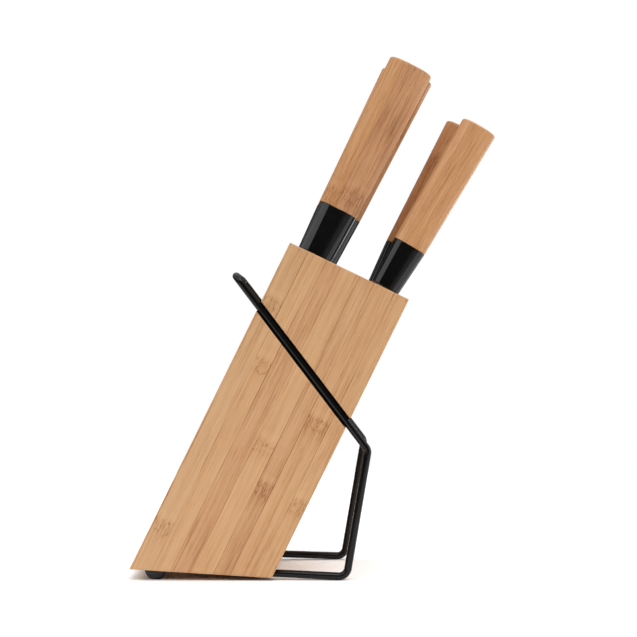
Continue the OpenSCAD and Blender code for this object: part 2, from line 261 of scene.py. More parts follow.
def on_outside(face):
    """True if a face lies in one of the block's four sloping planes or its two side faces."""
    if all(abs(v.co.y) > HALF_WIDTH - ON_FACE for v in face.verts):
        return True
    for a, b in zip(CORNERS, CORNERS[1:] + CORNERS[:1]):
        outward = (b - a).cross(ACROSS).normalized()
        if all(abs((v.co - a).dot(outward)) < ON_FACE for v in face.verts):
            return True
    return False


def ease_of(edge):
    """How far an edge of a board is eased: most on the block's outside, least where boards meet."""
    outside = [on_outside(face) for face in edge.link_faces]
    if edge.calc_face_angle(0) < EASED_FROM_ANGLE or not any(outside):
        return 0
    if all(outside):
        return OUTER_EASE
    inner_face = edge.link_faces[outside.index(False)]
    return SEAM_EASE if abs(inner_face.normal.y) > FACES_SIDEWAYS else MOUTH_EASE


def board(node):
    """The CAD board's faces, with each edge eased."""
    bm = bmesh.new()
    bm.from_mesh(NODES[node].data)
    bmesh.ops.remove_doubles(bm, verts=bm.verts, dist=WELD)
    bmesh.ops.dissolve_limit(bm, angle_limit=FLAT_ANGLE, verts=bm.verts, edges=bm.edges)
    weight = bm.edges.layers.float.new("bevel_weight_edge")
    for edge in bm.edges:
        edge[weight] = ease_of(edge) / OUTER_EASE
    mesh = bpy.data.meshes.new(node + "_bamboo")
    bm.to_mesh(mesh)
    bm.free()
    piece = bpy.data.objects.new(node + "_bamboo", mesh)
    bpy.context.scene.collection.objects.link(piece)
    ease = piece.modifiers.new("ease", "BEVEL")
    ease.limit_method = "WEIGHT"
    ease.width = OUTER_EASE
    ease.segments = EASE_SEGMENTS
    ease.use_clamp_overlap = False
    eased = piece.evaluated_get(bpy.context.evaluated_depsgraph_get())
    piece.data = bpy.data.meshes.new_from_object(eased)
    piece.data.name = piece.name
    piece.modifiers.clear()
    return piece


# ---- wire ----

def bent_line(corners):
    """A line through the corners, each corner turned into an arc, as (point, direction) pairs."""
    line = [(corners[0], (corners[1] - corners[0]).normalized())]
    for p0, p1, p2 in zip(corners, corners[1:], corners[2:]):
        d0 = (p1 - p0).normalized()
        d1 = (p2 - p1).normalized()
        turn = d0.angle(d1)
        inward = (d1 - d0 * d0.dot(d1)).normalized()
        centre = p1 - d0 * BEND_R * math.tan(turn / 2) + inward * BEND_R
        steps = math.ceil(turn / BEND_STEP)
        for i in range(steps + 1):
            a = turn * i / steps
            point = centre - inward * BEND_R * math.cos(a) + d0 * BEND_R * math.sin(a)
            line.append((point, d0 * math.cos(a) + inward * math.sin(a)))
    line.append((corners[-1], (corners[-1] - corners[-2]).normalized()))
    return line


def wire_corners():
    """Corners of the wire's centre line, from one hidden end round to the other."""
    points = [v.co for v in NODES["wire_stand"].data.vertices]
    y = max(p.y for p in points) - WIRE_R
    bar = Vector((min(p.x for p in points if p.z > KNEE_Z) + WIRE_R, y, max(p.z for p in points) - WIRE_R))
    knee = Vector((bar.x + (bar.z - KNEE_Z) / math.tan(DIAGONAL_RISE), y, KNEE_Z))
    rear_turn = math.radians(90) - LEG_LEAN + RUN_FALL
    sag = 1 - math.cos(RUN_FALL) - math.sin(RUN_FALL) * math.tan(rear_turn / 2)
    rear_z = WIRE_R + BEND_R * sag
    rear = Vector((knee.x - (KNEE_Z - rear_z) * math.tan(LEG_LEAN), y, rear_z))
    run = Vector((
        -math.cos(RUN_FALL) * math.cos(RUN_TOE_IN),
        -math.sin(RUN_TOE_IN),
        math.sin(RUN_FALL) * math.cos(RUN_TOE_IN),
    ))
    end_x = min(p.x for p in points if p.z < KNEE_Z / 4)
    end = rear + run * ((rear.x - end_x) / -run.x)
    side = [end, rear, knee, bar]
    return side + [Vector((p.x, -p.y, p.z)) for p in reversed(side)]


def sweep(line, radius):
    """Rings of points along (point, direction) pairs, without twist, and with rounded ends."""
    places = []
    direction = line[0][1]
    side = direction.cross(ACROSS).normalized()
    for point, heading in line:
        side = direction.rotation_difference(heading) @ side
        direction = heading
        places.append((point, side.copy(), direction.cross(side), heading))
    first = []
    for angle in ROUND_ANGLES:
        t = math.radians(angle)
        shrink = WIRE_END_ROUND * (1 - math.sin(t))
        first.append((places[0], radius - shrink, WIRE_END_ROUND * (1 - math.cos(t))))
    last = [(places[-1], r, -shift) for _, r, shift in reversed(first)]
    middle = [(place, radius, 0) for place in places[1:-1]]
    rings = []
    for (point, side, other, heading), r, shift in first + middle + last:
        centre = point + heading * shift
        rings.append([
            centre + side * r * math.cos(t) + other * r * math.sin(t) for t in around(WIRE_SIDES)
        ])
    return rings


def wire_stand(material):
    """The whole stand: one bent wire with both ends inside the block's bottom."""
    line = bent_line(wire_corners())
    bm = loft(sweep(line, WIRE_R), start=line[0][0], end=line[-1][0])
    new_piece("wire_stand_coated", bm, "wire_stand", material)


# ---- feet ----

def foot(side, material):
    """A self-adhesive rubber dome: round below, flat under the block and where it meets the table."""
    node = "foot_" + side
    low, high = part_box(node)
    radius = (high.y - low.y) / 2
    fall = math.atan2(CORNERS[0].z - CORNERS[1].z, CORNERS[1].x - CORNERS[0].x)
    tilt = Matrix.Rotation(fall, 4, "Y")
    middle = Vector(((low.x + high.x) / 2, (low.y + high.y) / 2, 0))
    middle.z = CORNERS[0].z - (middle.x - CORNERS[0].x) * math.tan(fall)
    corner = FOOT_LIP * CORNER_MIDDLE
    profile = [(radius - FOOT_LIP, 0), (radius - corner, -corner), (radius, -FOOT_LIP)]
    # The lip takes the place of the dome's first two rings
    for i in range(2, FOOT_RINGS):
        a = math.pi / 2 * i / FOOT_RINGS
        profile.append((radius * math.cos(a), -radius * math.sin(a)))
    rings = []
    for r, z in profile:
        circle = [Vector((r * math.cos(t), r * math.sin(t), z)) for t in around(FOOT_SIDES)]
        rings.append([pressed(middle + tilt @ p) for p in circle])
    bottom = pressed(middle + tilt @ Vector((0, 0, -radius)))
    bm = loft(rings, start=middle, end=bottom)
    new_piece(node + "_rubber", bm, node, material)


def pressed(point):
    """The point, kept above the table with a soft turn where the rubber meets it."""
    z = point.z
    lifted = (z + math.sqrt(z * z + FOOT_SOFTNESS ** 2)) / 2
    return Vector((point.x, point.y, max(lifted, 0)))


# ---- knives: X towards the cutting edge, Z up the axis, origin at the ferrule's foot ----

def knife_frame(name):
    """The knife's frame, from its joint's axis and its ferrule's lower end."""
    joint = next(j for j in frame["joints"] if j["child"] == name + "_knife")
    axis = Vector(joint["axis"]).normalized()
    edge_way = ACROSS.cross(axis)
    points = [v.co for v in NODES[name + "_ferrule"].data.vertices]
    foot_at = min(p.dot(axis) for p in points)
    foot_ring = [p for p in points if p.dot(axis) < foot_at + ON_FACE]
    sideways = [p.dot(edge_way) for p in foot_ring]
    y = [p.y for p in foot_ring]
    middle = edge_way * (min(sideways) + max(sideways)) / 2 + ACROSS * (min(y) + max(y)) / 2
    turn = Matrix((edge_way, ACROSS, axis)).transposed().to_4x4()
    return Matrix.Translation(axis * foot_at + middle) @ turn


def local_points(node, place):
    """The CAD node's points in a knife's frame."""
    back = place.inverted()
    return [back @ v.co for v in NODES[node].data.vertices]


def half_sizes(points, z):
    """Half the width and half the thickness of the points at a height."""
    near = [p for p in points if abs(p.z - z) < ON_FACE]
    return max(p.x for p in near), max(p.y for p in near)


def oval(a, b, z):
    """A rounded-oval ring of half width a and half thickness b."""
    ring = []
    for t in around(OVAL_SIDES, 0.5):
        c, s = math.cos(t), math.sin(t)
        x = math.copysign(a * abs(c) ** (2 / OVAL_POWER), c)
        y = math.copysign(b * abs(s) ** (2 / OVAL_POWER), s)
        ring.append(Vector((x, y, z)))
    return ring


def slot_ring(name, z):
    """A rectangular ring round a knife's tang, with one point for each point of an oval."""
    w = BLADES[name]["tang_w"] / 2 + TANG_CLEARANCE
    t = BLADES[name]["blade_t"] / 2 + TANG_CLEARANCE
    ring = []
    for a in around(OVAL_SIDES, 0.5):
        c, s = math.cos(a), math.sin(a)
        reach = 1 / max(abs(c), abs(s))
        ring.append(Vector((w * c * reach, t * s * reach, z)))
    return ring


def rounded_lip(a, b, z, rise):
    """Rings that round the edge of an oval end at height z; rise is 1 at a lower end, -1 at an upper."""
    rings = []
    for angle in reversed(ROUND_ANGLES):
        t = math.radians(angle)
        inset = LIP_ROUND * (1 - math.cos(t))
        rings.append(oval(a - inset, b - inset, z + rise * LIP_ROUND * (1 - math.sin(t))))
    return rings


def straight_rings(a0, b0, z0, a1, b1, z1):
    """Ovals along a straight taper, with one close to each end so that the ends' rounding stays there."""
    held = HOLD / (z1 - z0)
    parts = [held] + [i / LENGTH_RINGS for i in range(1, LENGTH_RINGS)] + [1 - held]
    return [oval(a0 + (a1 - a0) * t, b0 + (b1 - b0) * t, z0 + (z1 - z0) * t) for t in parts]


def placed(rings, place):
    """The rings moved from a knife's frame to the object's."""
    return [[place @ p for p in ring] for ring in rings]


def ferrule(name, place, material):
    """Moulded sleeve with rounded ends, and a slot right through it for the tang."""
    node = name + "_ferrule"
    points = local_points(node, place)
    top = max(p.z for p in points)
    foot_a, foot_b = half_sizes(points, 0)
    neck_a, neck_b = half_sizes(points, top)
    rings = rounded_lip(foot_a, foot_b, 0, 1)
    rings += straight_rings(foot_a, foot_b, LIP_ROUND, neck_a, neck_b, top - LIP_ROUND)
    rings += reversed(rounded_lip(neck_a, neck_b, top, -1))
    rings += [slot_ring(name, top), slot_ring(name, 0)]
    bm = loft(placed(rings, place), closed=True)
    new_piece(node + "_moulded", bm, node, material)


def grip(name, place, material):
    """Wooden grip with a blind slot for the tang and a crowned butt with a rounded edge."""
    node = name + "_handle"
    points = local_points(node, place)
    bottom, top = min(p.z for p in points), max(p.z for p in points)
    neck_a, neck_b = half_sizes(points, bottom)
    butt_a, butt_b = max(p.x for p in points), max(p.y for p in points)
    shoulder = top - BUTT_ROUND - BUTT_CROWN
    slot_top = bottom + BLADES[name]["tang_len"] + TANG_CLEARANCE
    rings = [slot_ring(name, slot_top), slot_ring(name, bottom)]
    rings += rounded_lip(neck_a, neck_b, bottom, 1)
    rings += straight_rings(neck_a, neck_b, bottom + LIP_ROUND, butt_a, butt_b, shoulder)
    for angle in range(0, 91, BUTT_ROUND_STEP):
        t = math.radians(angle)
        inset = BUTT_ROUND * (1 - math.cos(t))
        rings.append(oval(butt_a - inset, butt_b - inset, shoulder + BUTT_ROUND * math.sin(t)))
    flat_a, flat_b = butt_a - BUTT_ROUND, butt_b - BUTT_ROUND
    for part in BUTT_CROWN_PARTS:
        z = shoulder + BUTT_ROUND + BUTT_CROWN * (1 - part ** 2)
        rings.append(oval(flat_a * part, flat_b * part, z))
    start = place @ Vector((0, 0, slot_top))
    bm = loft(placed(rings, place), start=start, end=place @ Vector((0, 0, top)))
    new_piece(node + "_bamboo", bm, node, material)


def curve_down(s, start, power):
    """0 up to start, then a curve up to 1 at the tip; s goes from 0 at the heel to 1 there."""
    return max(0, (s - start) / (1 - start)) ** power


def scallop(z):
    """Depth of a serration at a distance z below the heel, cut as a shallow arc with a sharp point."""
    across = (z / SCALLOP_PITCH) % 1 * 2 - 1
    return SCALLOP_DEPTH * (1 - across ** 2)


def blade_ring(name, spine, edge, z, s, heel_z):
    """Section of a blade across its length, from the spine down one face to the edge and back up."""
    shape = BLADES[name]
    t = shape["blade_t"] / 2 * (1 - BLADE_TAPER * s)
    height = edge - spine
    bevel = min(shape["bevel"], height * BEVEL_MOST)
    grind = min(HONED_W, height * HONED_MOST)
    cut = 0
    if name == "bread":
        grind = min(SCALLOP_GRIND, height * SCALLOP_GRIND_MOST)
        cut = min(scallop(heel_z - z), height * SCALLOP_MOST)
    grind_t = EDGE_T / 2 + (t - EDGE_T / 2) * grind / bevel
    half = [
        (spine, 0),
        (spine + SPINE_ROUND * CORNER_MIDDLE, t - SPINE_ROUND * (1 - CORNER_MIDDLE)),
        (spine + SPINE_ROUND, t),
        (edge - bevel, t),
        (edge - grind, grind_t),
        (edge - cut, CUTTING_T / 2),
    ]
    return both_faces(half, z)


def tang_ring(name, z):
    """Section of the tang, with one point for each point of a blade's section."""
    w, t = BLADES[name]["tang_w"] / 2, BLADES[name]["blade_t"] / 2
    eased_w, eased_t = w * (1 - TANG_EASE_W), t * (1 - TANG_EASE_T)
    return both_faces([(-w, 0), (-w, eased_t), (-eased_w, t), (w / 2, t), (eased_w, t), (w, eased_t)], z)


def both_faces(half, z):
    """A ring from the outline of one face, which starts on the spine, and its mirror image."""
    back = [(x, -y) for x, y in reversed(half[1:])]
    return [Vector((x, y, z)) for x, y in half + back]


def blade(name, place, material):
    """Blade with a ground bevel, a honed or scalloped edge and a tang that runs up into the grip."""
    node = name + "_blade"
    shape = BLADES[name]
    points = local_points(node, place)
    low, high = min(p.z for p in points), max(p.z for p in points)
    spine, edge = min(p.x for p in points), max(p.x for p in points)
    heel_z = max(p.z for p in points if p.x < spine + ON_FACE)
    length = heel_z - low
    stations = BREAD_STATIONS if name == "bread" else BLADE_STATIONS
    tang_end_round = shape["blade_t"] / 4
    rings = [tang_ring(name, high - tang_end_round), tang_ring(name, heel_z)]
    for i in range(stations):
        s = i / stations
        z = heel_z - s * length
        spine_x = spine + shape["drop"] * curve_down(s, shape["spine_from"], SPINE_POWER)
        drop = edge - spine - shape["drop"]
        edge_x = edge - drop * curve_down(s, shape["edge_from"], shape["power"])
        from_heel = max(0, HEEL_ROUND - (heel_z - z))
        edge_x -= HEEL_ROUND - math.sqrt(HEEL_ROUND ** 2 - from_heel ** 2)
        rings.append(blade_ring(name, spine_x, edge_x, z, s, heel_z))
    tip = place @ Vector((spine + shape["drop"], 0, low))
    start = place @ Vector((0, 0, high))
    bm = loft(placed(rings, place), start=start, end=tip)
    new_piece(node + "_steel", bm, node, material)


# ---- materials ----

def srgb(red, green, blue):
    """A colour given as 0 to 255 screen values, as linear light with alpha."""
    def linear(value):
        part = value / 255
        return part / 12.92 if part <= 0.04045 else ((part + 0.055) / 1.055) ** 2.4
    return (linear(red), linear(green), linear(blue), 1)


class Graph:
    """A material's node tree, with short calls for the nodes used here."""

    def __init__(self, name):
        self.material = bpy.data.materials.new(name)
        self.material.use_nodes = True
        self.nodes = self.material.node_tree.nodes
        self.links = self.material.node_tree.links
        self.shader = next(n for n in self.nodes if n.type == "BSDF_PRINCIPLED")

    def plug(self, socket, value):
        """Links a socket to another one, or sets its value. None leaves it alone."""
        if isinstance(value, bpy.types.NodeSocket):
            self.links.new(value, socket)
        elif value is not None:
            socket.default_value = value

    def node(self, kind, *inputs, **settings):
        """A node with its settings, and with its first inputs plugged in order."""
        made = self.nodes.new("ShaderNode" + kind)
        for key, value in settings.items():
            setattr(made, key, value)
        for socket, value in zip(made.inputs, inputs):
            self.plug(socket, value)
        return made

    def finish(self, **inputs):
        """Sets the shader's inputs, named with _ for a space, and returns the material."""
        for key, value in inputs.items():
            self.plug(self.shader.inputs[key.replace("_", " ")], value)
        return self.material

    def math(self, operation, a, b=None, c=None):
        """One operation on one to three numbers or sockets."""
        return self.node("Math", a, b, c, operation=operation).outputs[0]

    def within(self, value, lowest, spread):
        """Goes from lowest to lowest + spread as value goes from 0 to 1."""
        return self.math("MULTIPLY_ADD", value, spread, lowest)

    def fade(self, value, start, end, low=0.0, high=1.0):
        """Goes smoothly from low to high as value goes from start to end."""
        made = self.node("MapRange", interpolation_type="SMOOTHSTEP")
        for socket, number in zip(made.inputs, (value, start, end, low, high)):
            self.plug(socket, number)
        return made.outputs[0]

    def stretch(self, vector, *scale):
        """The vector multiplied by a scale along each axis."""
        return self.node("VectorMath", vector, scale, operation="MULTIPLY").outputs[0]

    def dot(self, vector, direction):
        """How far the vector reaches in a direction."""
        made = self.node("VectorMath", vector, tuple(direction), operation="DOT_PRODUCT")
        return made.outputs["Value"]

    def noise(self, vector, scale, detail=2.0, roughness=0.5):
        """Noise from 0 to 1, finer as its scale goes up."""
        made = self.node("TexNoise")
        self.plug(made.inputs["Vector"], vector)
        self.plug(made.inputs["Scale"], scale)
        self.plug(made.inputs["Detail"], detail)
        self.plug(made.inputs["Roughness"], roughness)
        return made.outputs[0]

    def drawn_noise(self, vector, slimness, scale, detail=2.0, roughness=0.5):
        """Noise drawn out along Z, where slimness is the width of its features over their length."""
        return self.noise(self.stretch(vector, 1.0, 1.0, slimness), scale, detail, roughness)

    def cells(self, value, width, randomness, feature="F1"):
        """One-dimensional cells of about the given width."""
        made = self.node("TexVoronoi", voronoi_dimensions="1D", feature=feature)
        self.plug(made.inputs["W"], value)
        self.plug(made.inputs["Scale"], 1 / width)
        self.plug(made.inputs["Randomness"], randomness)
        return made.outputs

    def ramp(self, value, *stops):
        """A colour from (position, colour) stops."""
        made = self.node("ValToRGB", value)
        elements = made.color_ramp.elements
        while len(elements) < len(stops):
            elements.new(0.5)
        for element, (position, colour) in zip(elements, stops):
            element.position = position
            element.color = colour
        return made.outputs[0]

    def bump(self, height, depth, strength=1.0):
        """A bump that is depth metres high where height is 1."""
        made = self.node("Bump")
        self.plug(made.inputs["Strength"], strength)
        self.plug(made.inputs["Distance"], depth)
        self.plug(made.inputs["Height"], height)
        return made.outputs[0]

    def local(self, place):
        """Coordinates in a piece's own frame, in millimetres."""
        here = self.node("TexCoord").outputs["Object"]
        spot = self.node("Mapping", here, tuple(place.translation), tuple(place.to_euler()), (MM, MM, MM))
        spot.vector_type = "TEXTURE"
        return spot.outputs[0]


# ---- bamboo: all lengths are in millimetres ----

# Two grades of bamboo. The tones run from dark to pale. Staves lie side by side, in plies of thickness
# ply_t. glue is how dark the lines between them are, clouds and fibres are how strong those are, and
# fineness is the scale of the fibres. Knuckles follow each other along a stave at knuckle_gap, and are out
# of line from stave to stave by up to half of knuckle_spread. The part of the staves given by bare has no
# knuckles, and below 0 each stave has them.
BLOCK_WOOD = {
    "tones": [
        (0.0, srgb(116, 70, 38)), (0.3, srgb(167, 118, 77)), (0.52, srgb(191, 146, 105)),
        (0.75, srgb(200, 158, 118)), (1.0, srgb(213, 177, 141)),
    ],
    "stave_w": 13.0, "ply_t": 7.0, "glue": 0.3, "clouds": 0.3, "fibres": 1.0, "fineness": 0.9,
    "knuckle_gap": 160.0, "knuckle_spread": 1330.0, "bare": 0.15,
}
GRIP_WOOD = {
    "tones": [
        (0.0, srgb(102, 58, 28)), (0.3, srgb(152, 100, 59)), (0.52, srgb(179, 127, 83)),
        (0.75, srgb(192, 142, 97)), (1.0, srgb(208, 164, 121)),
    ],
    "stave_w": 17.0, "ply_t": 9.0, "glue": 0.08, "clouds": 0.34, "fibres": 1.4, "fineness": 1.5,
    "knuckle_gap": 150.0, "knuckle_spread": 8.0, "bare": -0.2,
}
STAVE_RANDOMNESS = 0.75
# How far apart the patterns of different plies, pieces and staves are taken
PLY_SHIFT = 400.0
SEED_SHIFT = 137.3
STAVE_SHIFT = 60.0
# Distance from a joint over which its dark line fades, and the noise that makes the line fainter in places
STAVE_LINE = (0.12, 0.5)
PLY_LINE = (0.1, 0.35)
PATCH_STRETCH = (0.1, 0.1, 0.02)
PATCH_LEVELS = (0.35, 0.6)
LINE_FAINTEST = 0.2

# Noise drawn out along the grain: slimness, scale, detail and roughness
FIBRES = {"slimness": 0.022, "detail": 4.0, "roughness": 0.7}
STREAKS = (0.016, 0.32, 3.0, 0.6)
CLOUDS = (0.3, 0.08, 3.0, 0.5)
DASHES = (0.03, 1.2, 2.0, 0.5)
PORES = (0.07, 2.4, 2.0, 0.5)
MOTTLE = (0.2, 1.5, 3.0, 0.6)
KNUCKLE_BENDS = (0.2, 0.5, 2.0, 0.5)
# Levels of the noise between which its marks appear
DASH_LEVELS = (0.6, 0.72)
PORE_LEVELS = (0.56, 0.68)
MOTTLE_LEVELS = (0.5, 0.63)

# A knuckle, by distance along the stave: its wobble, its rows of scars, the mottled band between them, the
# paler band past it on one side, and the darker halo
KNUCKLE_WOBBLE = 6.0
SCARS_AT = 3.6
SCARS = (0.2, 1.1)
BAND = (2.0, 8.0)
BAND_STRENGTH = 0.7
PALE_AT = 8.0
PALE = (0.5, 5.0)
HALO = (4.0, 16.0)
BARE_FADE = 0.15

# End grain: the cosine of the surface's angle to the grain where it starts and where it is complete, how
# much of the other effects it loses, and the scale and radius of the bundles of fibres in it
END_GRAIN = (0.75, 0.95)
END_GRAIN_EVENNESS = 0.75
BUNDLE_SCALE = 1.3
BUNDLE_RADIUS = (0.12, 0.34)

# Where on the ramp of tones the wood starts from, the lowest value and range of what each stave adds to
# that, and how far each effect moves it
MIDDLE_TONE = 0.56
STAVE_TONE = (-0.06, 0.14)
TONE_MOVES = {
    "streak": 0.42, "fibre": 0.85, "dash": -0.13, "pore": -0.09,
    "knuckle": -0.34, "pale": 0.1, "halo": -0.07, "dots": -0.16,
}
# Lowest value and range of the staves' hue and saturation, where 0.5 and 1 change nothing
STAVE_HUE = (0.499, 0.004)
STAVE_SATURATION = (0.96, 0.08)
# Lowest value and range of the gloss's roughness
WOOD_ROUGHNESS = (0.42, 0.16)
# Height of the wood's relief, how much of it is seen, and how far each mark stands up or lies low in it
RELIEF = 0.05 * MM
RELIEF_STRENGTH = 0.6
FIBRE_RISE = 0.6
LINE_RISE = -0.6
DASH_RISE = -0.25

# Painted shade on the walls of the side boards' grooves, darkening them as if in shadow round the wire: how much
# darker they are, and where that starts and ends, by depth below the board's face and by distance from the wire's
# line
GROOVE_PAINTED_SHADE = 0.85
GROOVE_TOP = (0.05, 0.3)
GROOVE_BOTTOM = (6.0, 6.3)
GROOVE_SIDE = (3.4, 3.7)


def staves(g, spot, seed, wood):
    """Each stave's three random values, its own coordinates, and the dark lines where staves meet.

    Plies lie across Y, and staves across X, out of line from one ply to the next.
    """
    x, y, z = g.node("SeparateXYZ", spot).outputs
    stave_w, ply_t = wood["stave_w"], wood["ply_t"]
    ply = g.cells(y, ply_t, 0.0)
    ply_edge = g.cells(y, ply_t, 0.0, "DISTANCE_TO_EDGE")["Distance"]
    ply_random = g.node("SeparateColor", ply["Color"]).outputs
    shifted = g.math("MULTIPLY_ADD", ply_random[0], PLY_SHIFT, g.math("ADD", x, seed * SEED_SHIFT))
    stave = g.node("SeparateColor", g.cells(shifted, stave_w, STAVE_RANDOMNESS)["Color"]).outputs
    stave_edge = g.cells(shifted, stave_w, STAVE_RANDOMNESS, "DISTANCE_TO_EDGE")["Distance"]
    stave_line = g.fade(g.math("MULTIPLY", stave_edge, stave_w), *STAVE_LINE, 1.0, 0.0)
    ply_line = g.fade(g.math("MULTIPLY", ply_edge, ply_t), *PLY_LINE, 1.0, 0.0)
    patchy = g.fade(g.noise(g.stretch(spot, *PATCH_STRETCH), 1.0), *PATCH_LEVELS, LINE_FAINTEST, 1.0)
    line = g.math("MULTIPLY", g.math("MAXIMUM", stave_line, ply_line), patchy)
    own = g.node("CombineXYZ", shifted, g.math("MULTIPLY_ADD", stave[0], STAVE_SHIFT, y), z).outputs[0]
    return stave, own, line


def knuckles(g, own, stave, wood, knuckle_at):
    """Two rows of short scars with mottled wood between, the paler band past them and the halo."""
    z = g.node("SeparateXYZ", own).outputs[2]
    along = g.math("MULTIPLY_ADD", g.math("SUBTRACT", stave[2], 0.5), wood["knuckle_spread"], z)
    bend = g.math("SUBTRACT", g.drawn_noise(own, *KNUCKLE_BENDS), 0.5)
    wobble = g.math("MULTIPLY_ADD", bend, KNUCKLE_WOBBLE, along)
    half_gap = wood["knuckle_gap"] / 2
    wrapped = g.math("WRAP", g.math("SUBTRACT", wobble, knuckle_at), half_gap, -half_gap)
    away = g.math("ABSOLUTE", wrapped)
    present = g.fade(stave[1], wood["bare"], wood["bare"] + BARE_FADE)
    scar = g.fade(g.math("ABSOLUTE", g.math("SUBTRACT", away, SCARS_AT)), *SCARS, 1.0, 0.0)
    mottle = g.fade(g.drawn_noise(own, *MOTTLE), *MOTTLE_LEVELS)
    band = g.math("MULTIPLY", g.fade(away, *BAND, 1.0, 0.0), BAND_STRENGTH)
    knuckle = g.math("MULTIPLY", g.math("MULTIPLY", g.math("MAXIMUM", band, scar), mottle), present)
    past = g.math("ABSOLUTE", g.math("SUBTRACT", wrapped, PALE_AT))
    pale = g.math("MULTIPLY", g.fade(past, *PALE, 1.0, 0.0), present)
    halo = g.math("MULTIPLY", g.fade(away, *HALO, 1.0, 0.0), present)
    return knuckle, pale, halo


def end_grain(g, spot, place):
    """1 where the surface faces along the grain, and the bundles of fibres that are cut across there."""
    facing = g.dot(g.node("TexCoord").outputs["Normal"], place.to_3x3() @ UP)
    end = g.fade(g.math("ABSOLUTE", facing), *END_GRAIN)
    bundle = g.node("TexVoronoi", voronoi_dimensions="2D", feature="F1")
    g.plug(bundle.inputs["Vector"], spot)
    g.plug(bundle.inputs["Scale"], BUNDLE_SCALE)
    dots = g.math("MULTIPLY", g.fade(bundle.outputs["Distance"], *BUNDLE_RADIUS, 1.0, 0.0), end)
    return end, dots


def in_groove(g, spot):
    """1 on the walls of the side boards' diagonal grooves, where painted shade goes, and 0 elsewhere."""
    knee, bar = (BLOCK_FRAME.inverted() @ p / MM for p in wire_corners()[2:4])
    across = (bar - knee).cross(ACROSS).normalized()
    off_line = g.math("ABSOLUTE", g.math("SUBTRACT", g.dot(spot, across), across.dot(knee)))
    y = g.node("SeparateXYZ", spot).outputs[1]
    depth = g.math("SUBTRACT", HALF_WIDTH / MM, g.math("ABSOLUTE", y))
    inside = g.math("MULTIPLY", g.fade(depth, *GROOVE_TOP), g.fade(depth, *GROOVE_BOTTOM, 1.0, 0.0))
    return g.math("MULTIPLY", inside, g.fade(off_line, *GROOVE_SIDE, 1.0, 0.0))


def bamboo(name, place, seed, wood, knuckle_at, shade=0.0, shaded_grooves=False):
    """Laminated bamboo with its grain along the frame's Z: staves, glue lines, fibres and knuckles.

    knuckle_at is the height of one knuckle, shade makes the whole piece paler, and the last argument marks the
    side boards whose groove walls get painted shade, darkened as if in shadow round the wire.
    """
    g = Graph(name)
    spot = g.local(place)
    stave, own, line = staves(g, spot, seed, wood)
    knuckle, pale, halo = knuckles(g, own, stave, wood, knuckle_at)
    end, dots = end_grain(g, spot, place)
    fibre = g.drawn_noise(own, scale=wood["fineness"], **FIBRES)
    streak = g.drawn_noise(own, *STREAKS)
    cloud = g.drawn_noise(own, *CLOUDS)
    dash = g.fade(g.drawn_noise(own, *DASHES), *DASH_LEVELS)
    pore = g.fade(g.drawn_noise(own, *PORES), *PORE_LEVELS)
    grain = g.within(stave[0], *STAVE_TONE)
    for amount, effect in (
        (TONE_MOVES["streak"], g.math("SUBTRACT", streak, 0.5)),
        (wood["clouds"], g.math("SUBTRACT", cloud, 0.5)),
        (TONE_MOVES["fibre"] * wood["fibres"], g.math("SUBTRACT", fibre, 0.5)),
        (TONE_MOVES["dash"] * wood["fibres"], dash),
        (TONE_MOVES["pore"] * wood["fibres"], pore),
        (TONE_MOVES["knuckle"], knuckle),
        (TONE_MOVES["pale"], pale),
        (TONE_MOVES["halo"], halo),
    ):
        grain = g.math("MULTIPLY_ADD", effect, amount, grain)
    kept = g.math("MULTIPLY_ADD", end, -END_GRAIN_EVENNESS, 1.0)
    tone = g.math("MULTIPLY_ADD", grain, kept, MIDDLE_TONE + shade)
    tone = g.math("MULTIPLY_ADD", line, -wood["glue"], tone)
    tone = g.math("MULTIPLY_ADD", dots, TONE_MOVES["dots"], tone)
    hue = g.node("HueSaturation", g.within(stave[1], *STAVE_HUE))
    g.plug(hue.inputs["Saturation"], g.within(stave[2], *STAVE_SATURATION))
    g.plug(hue.inputs["Color"], g.ramp(tone, *wood["tones"]))
    if shaded_grooves:
        # Painted shade: the groove walls are darkened as if in shadow round the wire
        g.plug(hue.inputs["Value"], g.math("MULTIPLY_ADD", in_groove(g, spot), -GROOVE_PAINTED_SHADE, 1.0))
    rough = g.within(g.math("ADD", fibre, knuckle), *WOOD_ROUGHNESS)
    relief = g.math("MULTIPLY", g.math("ADD", line, knuckle), LINE_RISE)
    relief = g.math("MULTIPLY_ADD", fibre, FIBRE_RISE, relief)
    relief = g.math("MULTIPLY_ADD", g.math("ADD", dash, pore), DASH_RISE, relief)
    normal = g.bump(relief, RELIEF, RELIEF_STRENGTH)
    return g.finish(Base_Color=hue.outputs[0], Roughness=rough, Normal=normal, IOR=1.42)


# ---- black parts and steel ----

# Tones, from dark to pale
FERRULE_BLACKS = ((0.3, srgb(7, 7, 8)), (0.7, srgb(11, 11, 12)))
POWDER_BLACKS = ((0.3, srgb(7, 7, 8)), (0.7, srgb(12, 12, 12)))
RUBBER_GREYS = ((0.35, srgb(27, 27, 29)), (0.75, srgb(44, 43, 43)))
STEEL_GREYS = ((0.3, srgb(176, 178, 181)), (0.7, srgb(214, 215, 217)))
PAPER_WHITES = ((0.3, srgb(250, 250, 250)), (0.7, srgb(253, 253, 253)))

# Roughness is given as its lowest value and its range with one pattern. HAZE_ROUGHNESS, WEAR_ROUGHNESS and
# GRIND_ROUGHNESS are what a second pattern adds at most.

# Ferrules, in millimetres: scale and detail of the haze in their gloss, and the slimness, scale, detail
# and roughness of the rub marks in it and of the ripples under it
FERRULE_SHIFT = 31.0
HAZE = (0.12, 3.0)
RUB_MARKS = (0.08, 4.0, 3.0, 0.6)
RUB_LEVELS = (0.55, 0.75)
RIPPLES = (0.25, 0.16, 1.0, 0.5)
RIPPLE_DEPTH = 0.03 * MM
FERRULE_ROUGHNESS = (0.04, 0.03)
HAZE_ROUGHNESS = 0.05

